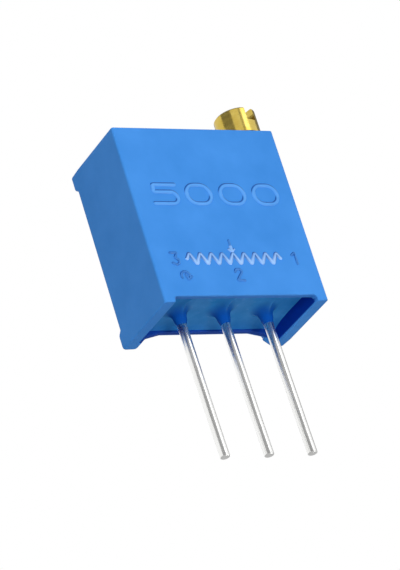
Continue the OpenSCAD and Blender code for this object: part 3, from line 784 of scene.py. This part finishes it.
# the epoxy's lower face as a height over x and y: a level pool that sags to the back and creeps
# down the walls as an exponential; from each pin a rounded ridge bends to the front wall, and each
# pin draws the epoxy down in a quarter circle and a thin cone
def pottingGrid():
    p = potting
    root, reach = p["wallRoot"], p["creepReach"]
    x = unevenLine(-wellHalf - root, wellHalf + root, [*pinX, -wellHalf, wellHalf])
    y = unevenLine(wellFront - root, wellBack + root, [0, wellFront, wellBack])
    x, y = np.meshgrid(x, y)
    level = p["level"] - p["backSag"] * smoothStep(y, p["sagFrom"], wellBack)
    for creep, away in (
        (p["frontCreep"], y - wellFront), (p["sideCreep"], wellHalf - np.abs(x)),
        (p["backCreep"], wellBack - y),
    ):
        level = level - creep * np.exp(-np.maximum(away, 0) / reach)
    toFront = np.clip(y / wellFront, 0, 1)
    grown = smoothStep(-y, 0, p["ridgeGrow"])
    for centre in pinX:
        away = x - centre - p["ridgeBend"] * toFront - p["ridgeOut"] * toFront ** 2
        away = away + p["ridgeStart"]
        level = level - p["ridgeHigh"] * np.exp(-(away / p["ridgeWide"]) ** 2) * grown
    height = level
    fillet = p["filletRound"]
    inner = wireRadius + p["coat"]
    for centre in pinX:
        r = np.hypot(x - centre, y)
        share = np.clip((inner + fillet - r) / fillet, 0, 1)
        drawn = level - fillet * (1 - np.sqrt(1 - share ** 2))
        into = np.clip((inner - r) / p["coat"], 0, p["coatInto"])
        cone = level - fillet - (level - fillet - p["coatEnd"]) * into
        height = np.minimum(height, np.where(r < inner, cone, drawn))
    return np.stack([x, y, height], -1), np.stack([x, y, 0 * x + wellHigh[2]], -1)


# a slab between a face and a lid with the same outline, closed by a strip along each edge
def slab(face, lid):
    edges = [(0, slice(None)), (-1, slice(None)), (slice(None), 0), (slice(None), -1)]
    walls = [(np.stack([face[e], lid[e]]), False, False) for e in edges]
    return [(face, False, False), (lid, False, False), *walls]


epoxySeal = makeObject("epoxySeal", slab(*pottingGrid()))
sealPoints = meshPoints(epoxySeal)
# painted shade on the epoxy: darkest round the pins, darker towards the back wall
toPin = np.min(np.hypot(sealPoints[:, :1] - np.array(pinX), sealPoints[:, 1:2]), axis=1)
nearPin = 1 - smoothStep(toPin, potting["deepNear"], potting["deepFar"])
backShare = smoothStep(sealPoints[:, 1], potting["deepBackFrom"], wellBack)
nearBack = potting["deepBack"] * backShare
paintShade(epoxySeal, np.maximum(nearPin, nearBack))
finishPiece(epoxySeal, "body", pouredEpoxy, ["potting"])

# the pins
pin = {
    "tipRound": 0.06, "columns": 40, "flatFrom": 0.80, "flatTo": 1.02, "tabThick": 0.26,
    "roundPower": 2, "tabPower": 7,  # a ring's shape on wire and on tab
    "ripple": 0.012, "rippleTurn": 2.1,  # how deep, and radians to the millimetre
    "lean": (0.03, -0.12), "leanPower": 1.5,  # how far a tip stands off its line
    "wireFrom": 0.2, "wireRings": 60, "tabRings": 8, "tabBevel": (0.03, 0.94),
}


# a pin as rings along z: each ring is a superellipse, |cos|^(2/n) by |sin|^(2/n), where n goes from
# round on the wire to nearly square on the flattened tab; below the board the wire leans by a power
# of the depth
def pinGrid(low, high):
    tabHalf = (high[0] - low[0]) / 2
    a = np.linspace(0, np.pi / 2, 6)
    tip, (bevel, bevelSize) = pin["tipRound"], pin["tabBevel"]
    z = np.concatenate([
        [low[2]], low[2] + tip * (1 - np.cos(a)),
        np.linspace(low[2] + pin["wireFrom"], pin["flatFrom"], pin["wireRings"]),
        np.linspace(pin["flatFrom"], pin["flatTo"], pin["tabRings"])[1:],
        [high[2] - bevel, high[2], high[2]],
    ])
    share = smoothStep(z, pin["flatFrom"], pin["flatTo"])
    size = np.ones(len(z))
    size[0], size[1:len(a) + 1] = 0, 1 - tip * (1 - np.sin(a)) / wireRadius
    size[-1], size[-2] = 0, bevelSize
    wave = 0.5 + 0.5 * np.sin(z * pin["rippleTurn"] + low[0])
    ripple = 1 - pin["ripple"] * wave * (share == 0)
    halfX = (wireRadius + (tabHalf - wireRadius) * share) * size * ripple
    halfY = (wireRadius + (pin["tabThick"] / 2 - wireRadius) * share) * size * ripple
    lean = np.clip(z / pinEnd, 0, 1) ** pin["leanPower"]
    middleX = (low[0] + high[0]) / 2 + pin["lean"][0] * lean
    middleY = (wireRadius - pin["tabThick"] / 2) * share + pin["lean"][1] * lean
    power = (pin["roundPower"] + (pin["tabPower"] - pin["roundPower"]) * share)[:, None]
    c, s = np.cos(fullTurn(pin["columns"])), np.sin(fullTurn(pin["columns"]))
    x = np.sign(c) * np.abs(c) ** (2 / power) * halfX[:, None] + middleX[:, None]
    y = np.sign(s) * np.abs(s) ** (2 / power) * halfY[:, None] + middleY[:, None]
    return np.stack([x, y, np.broadcast_to(z[:, None], x.shape)], -1)


for node, wireName, (low, high) in zip(pinNames, ("pin1Wire", "pin2Wire", "pin3Wire"), pinBoxes):
    wire = makeObject(wireName, [(pinGrid(low, high), False, True)])
    finishPiece(wire, "body", tinnedWire, [node])

# the adjusting screw
screw = {
    "headRound": 1.095, "bevel": 0.07, "headLow": 10.05, "footRound": 0.04,
    "slotWide": 0.56, "slotDeep": 0.76, "slotTurn": 14, "slotHalf": 2,
    "slotRounds": (0.01, 0.05, 0.05, 0.01), "slotSteps": 4,
    "journal": 0.74, "grooveBevel": 0.02,
    "ringGroove": (0.45, 8.97, 9.39), "neck": (0.42, 8.05, 8.34), "shoulder": (0.72, 7.90, 8.05),
    "worm": (0.37, 0.72, 3.90, 7.90), "wormFade": 0.2, "threadMiddle": 5.90,
    "lead": 0.62832, "crest": 0.0675, "flank": 0.195,
    "pivot": (0.37, 3.07), "pivotBevel": 0.05,
    "topGuards": (0.1, 0.012), "sideGuard": 0.02, "headRings": (0.3, 0.1, 5),
    "columns": 96, "ringStep": 0.022,
}


# the screw as rings down its axis; on the worm a ring's radius depends on the turn: the distance
# along the axis to the right-hand thread gives the crest, the sloping flank or the root
def screwGrid():
    head, bevel, headLow = screw["headRound"], screw["bevel"], screw["headLow"]
    foot, journal, edge = screw["footRound"], screw["journal"], screw["grooveBevel"]
    groove, grooveLow, grooveHigh = screw["ringGroove"]
    neck, neckLow, neckHigh = screw["neck"]
    shoulder, shoulderLow, shoulderHigh = screw["shoulder"]
    root, crest, wormLow, wormHigh = screw["worm"]
    far, near = screw["topGuards"]
    fromTop, fromFoot, count = screw["headRings"]
    profile = [(0, headTop), (head - bevel - far, headTop), (head - bevel - near, headTop)]
    sideTop = headTop - bevel
    profile += [(head - bevel, headTop), (head, sideTop), (head, sideTop - screw["sideGuard"])]
    profile += [(head, z) for z in np.linspace(headTop - fromTop, headLow + fromFoot, count)]
    for a in np.linspace(0, np.pi / 2, 5):
        profile.append((head - foot * (1 - math.cos(a)), headLow + foot * (1 - math.sin(a))))
    profile += [(journal, headLow), (journal, grooveHigh + edge), (journal - edge, grooveHigh)]
    profile += [(groove, grooveHigh), (groove, grooveLow), (journal, grooveLow)]
    profile += [(journal, neckHigh), (neck, neckHigh), (neck, neckLow)]
    profile += [(shoulder, shoulderHigh), (shoulder, shoulderLow)]
    columns = screw["columns"]
    upper = lathe(profile, screwAxis, columns)

    wormZ = np.arange(wormHigh, wormLow - 1e-6, -screw["ringStep"])
    turned = fullTurn(columns) / (2 * np.pi)
    phase = ((wormZ[:, None] - screw["threadMiddle"]) / screw["lead"] - turned) % 1
    away = np.minimum(phase, 1 - phase) * screw["lead"]
    slope = np.clip((away - screw["crest"]) / (screw["flank"] - screw["crest"]), 0, 1)
    radius = crest + (root - crest) * slope
    fade = screw["wormFade"]
    ends = smoothStep(wormZ, wormLow, wormLow + fade)
    ends = ends * smoothStep(-wormZ, -wormHigh, -wormHigh + fade)
    radius = root + (radius - root) * ends[:, None]
    worm = rings(radius, wormZ, screwAxis, columns)

    (pivot, pivotLow), tip = screw["pivot"], screw["pivotBevel"]
    tipProfile = [(pivot, pivotLow + tip), (pivot - tip, pivotLow), (0, pivotLow)]
    return np.concatenate([upper, worm, lathe(tipProfile, screwAxis, columns)])


# a bar with a rounded bottom: its cross-section (u, z) is carried along the slot's direction, and
# each end closes on the middle of the section
def slotCutter():
    half, long = screw["slotWide"] / 2, screw["slotHalf"]
    floorZ, roofZ = headTop - screw["slotDeep"], headTop + cutOver
    section = roundedPath([
        (0, roofZ), (half, roofZ), (half, floorZ), (-half, floorZ), (-half, roofZ), (0, roofZ),
    ], screw["slotRounds"], screw["slotSteps"], shortGuard)[0][:-1]
    centre = np.tile([[0, headTop]], (len(section), 1))
    turn = math.radians(screw["slotTurn"])
    grids = []
    for v, outline in ((-long, centre), (-long, section), (long, section), (long, centre)):
        u = outline[:, 0]
        grids.append(np.column_stack([
            screwAxis[0] + u * math.cos(turn) - v * math.sin(turn),
            screwAxis[1] + u * math.sin(turn) + v * math.cos(turn), outline[:, 1],
        ]))
    return np.stack(grids)


brassScrew = makeObject("brassScrew", [(screwGrid(), False, True)])
cutAway(brassScrew, makeObject("slotCut", [(slotCutter(), False, True)]))
finishPiece(brassScrew, "screw", turnedBrass, ["adjusting_screw"])
print("pieces done")

# the studio: floor, cards that only reflections see, lamps and world
stage = {
    "floorZ": cadLow.z / mm - 0.02,  # just under the pins' ends
    "floorHalf": 900, "floorColour": "#f4f4f2",
    "floorGlow": 0.22,  # what the camera sees on top of the lamps' light
    "floorMirror": 0.5,  # how bright reflections see it
    "floorFade": (30, 120),  # distances over which it goes over to white
    "worldLevel": 0.45,
}
cards = [
    # name, centre, distance, azimuth from and to, height from and to, brightness
    ("headCard", screwAxis, 60, (164, 223), (34, 70), 0.24),
    ("lineCard", screwAxis, 60, (267, 278), (34, 70), 0.40),
    ("pinCard", (0, 0), 60, (203, 274), (-7, 31), 0.30),
    ("sideCard", (0, 0), 60, (274, 325), (12, 31), 0.86),
    ("backCard", (0, 0), 60, (-5, 75), (-7, 150), 0.25),
]
lamps = [
    # name, direction from the object, distance, size, level on a facing surface, who sees it
    ("keyLamp", (-0.22, -0.95, -0.17), 160, 70, 0.58, "diffuse"),
    ("topLamp", (0.25, -0.15, 1.0), 200, 140, 0.12, "diffuse"),
    ("lowLamp", (0.53, -0.43, -0.73), 160, 70, 0.90, "glossy"),
    ("headLamp", (0.369, -0.828, 0.423), 60, 26, 0.075, "glossy"),
]
middle = (cadLow + cadHigh) / 2


# puts a grid of points in the scene as one open surface with its material
def stageSurface(name, grid, material):
    mesh = bpy.data.meshes.new(name)
    faces = gridFaces(*grid.shape[:2], False, False)
    mesh.from_pydata((grid.reshape(-1, 3) * mm).tolist(), [], faces.tolist())
    surface = bpy.data.objects.new(name, mesh)
    mesh.materials.append(material)
    linkObject(surface)
    return surface


# the floor: a square grid of points, z constant
def floorGrid():
    line = np.linspace(-1, 1, 9) * stage["floorHalf"]
    x, y = np.meshgrid(line, line)
    return np.stack([x, y, 0 * x + stage["floorZ"]], -1)


# a card: part of an upright cylinder, angle by height
def cardGrid(centre, far, azimuth, heights):
    angle, z = np.meshgrid(np.radians(np.linspace(*azimuth, 17)), np.linspace(*heights, 5))
    return np.stack([centre[0] + far * np.cos(angle), centre[1] + far * np.sin(angle), z], -1)


# pale matte paint: pale grey to reflections, white to the camera far out, and clear from below and
# to shadow rays, so that the floor takes the shadow and hides nothing
def floorPaint():
    paint, tree = newMaterial("paleFloor")
    ray = addNode(tree, "LightPath").outputs
    matte = addNode(tree, "BsdfDiffuse", {"Color": hexColour(stage["floorColour"])})
    glowSize = {**multiply, 1: stage["floorGlow"]}
    glowLevel = addNode(tree, "Math", glowSize, {0: ray["Is Camera Ray"]})
    glow = addNode(tree, "Emission", {"Color": white}, {"Strength": glowLevel})
    near = addNode(tree, "AddShader", {}, {0: matte, 1: glow})
    place = addNode(tree, "TexCoord").outputs["Object"]
    distance = addNode(tree, "VectorMath", {"operation": "LENGTH"}, {0: place})
    fadeOut = addNode(tree, "MapRange", {
        "interpolation_type": "SMOOTHSTEP",
        "From Min": stage["floorFade"][0] * mm, "From Max": stage["floorFade"][1] * mm,
    }, {"Value": distance.outputs["Value"]})
    seenFar = addNode(tree, "Math", multiply, {0: fadeOut, 1: ray["Is Camera Ray"]})
    seenWhite = addNode(tree, "Math", maximum, {0: seenFar, 1: ray["Is Glossy Ray"]})
    farLevel = addNode(tree, "MapRange", {"To Min": 1.0, "To Max": stage["floorMirror"]}, {
        "Value": ray["Is Glossy Ray"],
    })
    far = addNode(tree, "Emission", {"Color": white}, {"Strength": farLevel})
    surface = addNode(tree, "MixShader", {}, {0: seenWhite, 1: near, 2: far})
    clear = addNode(tree, "BsdfTransparent")
    fromBelow = addNode(tree, "NewGeometry").outputs["Backfacing"]
    hidden = addNode(tree, "Math", maximum, {0: fromBelow, 1: ray["Is Shadow Ray"]})
    ground = addNode(tree, "MixShader", {}, {0: hidden, 1: surface, 2: clear})
    addNode(tree, "OutputMaterial", {}, {"Surface": ground})
    return paint


# an even grey that gives its own light
def cardPaint(name, brightness):
    paint, tree = newMaterial(name)
    glow = addNode(tree, "Emission", {"Color": white, "Strength": brightness})
    addNode(tree, "OutputMaterial", {}, {"Surface": glow})
    return paint


stageSurface("floor", floorGrid(), floorPaint())
for name, centre, far, azimuth, heights, brightness in cards:
    paint = cardPaint(name + "Grey", brightness)
    card = stageSurface(name, cardGrid(centre, far, azimuth, heights), paint)
    card.visible_camera = card.visible_diffuse = False
    card.visible_transmission = card.visible_shadow = False

# an area lamp's watts are level * pi^2 * distance^2
for name, direction, far, size, level, seenBy in lamps:
    lamp = bpy.data.lights.new(name, "AREA")
    lamp.shape, lamp.size, lamp.energy = "DISK", size * mm, level * math.pi ** 2 * (far * mm) ** 2
    lampObject = bpy.data.objects.new(name, lamp)
    way = Vector(direction).normalized()
    lampObject.location = middle + way * far * mm
    lampObject.rotation_mode = "QUATERNION"
    lampObject.rotation_quaternion = way.to_track_quat("Z", "Y")
    lampObject.visible_camera = False
    lampObject.visible_diffuse, lampObject.visible_glossy = seenBy == "diffuse", seenBy == "glossy"
    linkObject(lampObject)

# the world: white where it is seen or reflected, and a plain level where it lights
world = bpy.data.worlds.new("studio")
bpy.context.scene.world = world
tree = emptyTree(world)
ray = addNode(tree, "LightPath").outputs
direct = ray["Is Camera Ray"]
for kind in ("Is Glossy Ray", "Is Transmission Ray"):
    direct = addNode(tree, "Math", maximum, {0: direct, 1: ray[kind]})
level = addNode(tree, "MapRange", {"To Min": stage["worldLevel"], "To Max": 1.0}, {"Value": direct})
background = addNode(tree, "Background", {"Color": white}, {"Strength": level})
addNode(tree, "OutputWorld", {}, {"Surface": background})

# the camera looks up at the case from the left, in front and below
view = {
    "right": (0.8485, -0.4532, -0.2732), "up": (0.0080, -0.5053, 0.8629),
    "back": (-0.5291, -0.7344, -0.4251), "place": (-82.18, -113.00, -63.09),
    "lens": 195.1, "sensor": 36, "nearest": 0.01,
}
camera = bpy.data.objects.new("camera", bpy.data.cameras.new("camera"))
camera.data.lens = view["lens"]
camera.data.sensor_width = view["sensor"]
camera.data.clip_start = view["nearest"]
stand = Matrix((view["right"], view["up"], view["back"])).transposed().to_4x4()
stand.translation = Vector(view["place"]) * mm
camera.matrix_world = stand
linkObject(camera)
bpy.context.scene.camera = camera
bpy.context.scene.view_settings.view_transform = "Standard"
print("stage done")
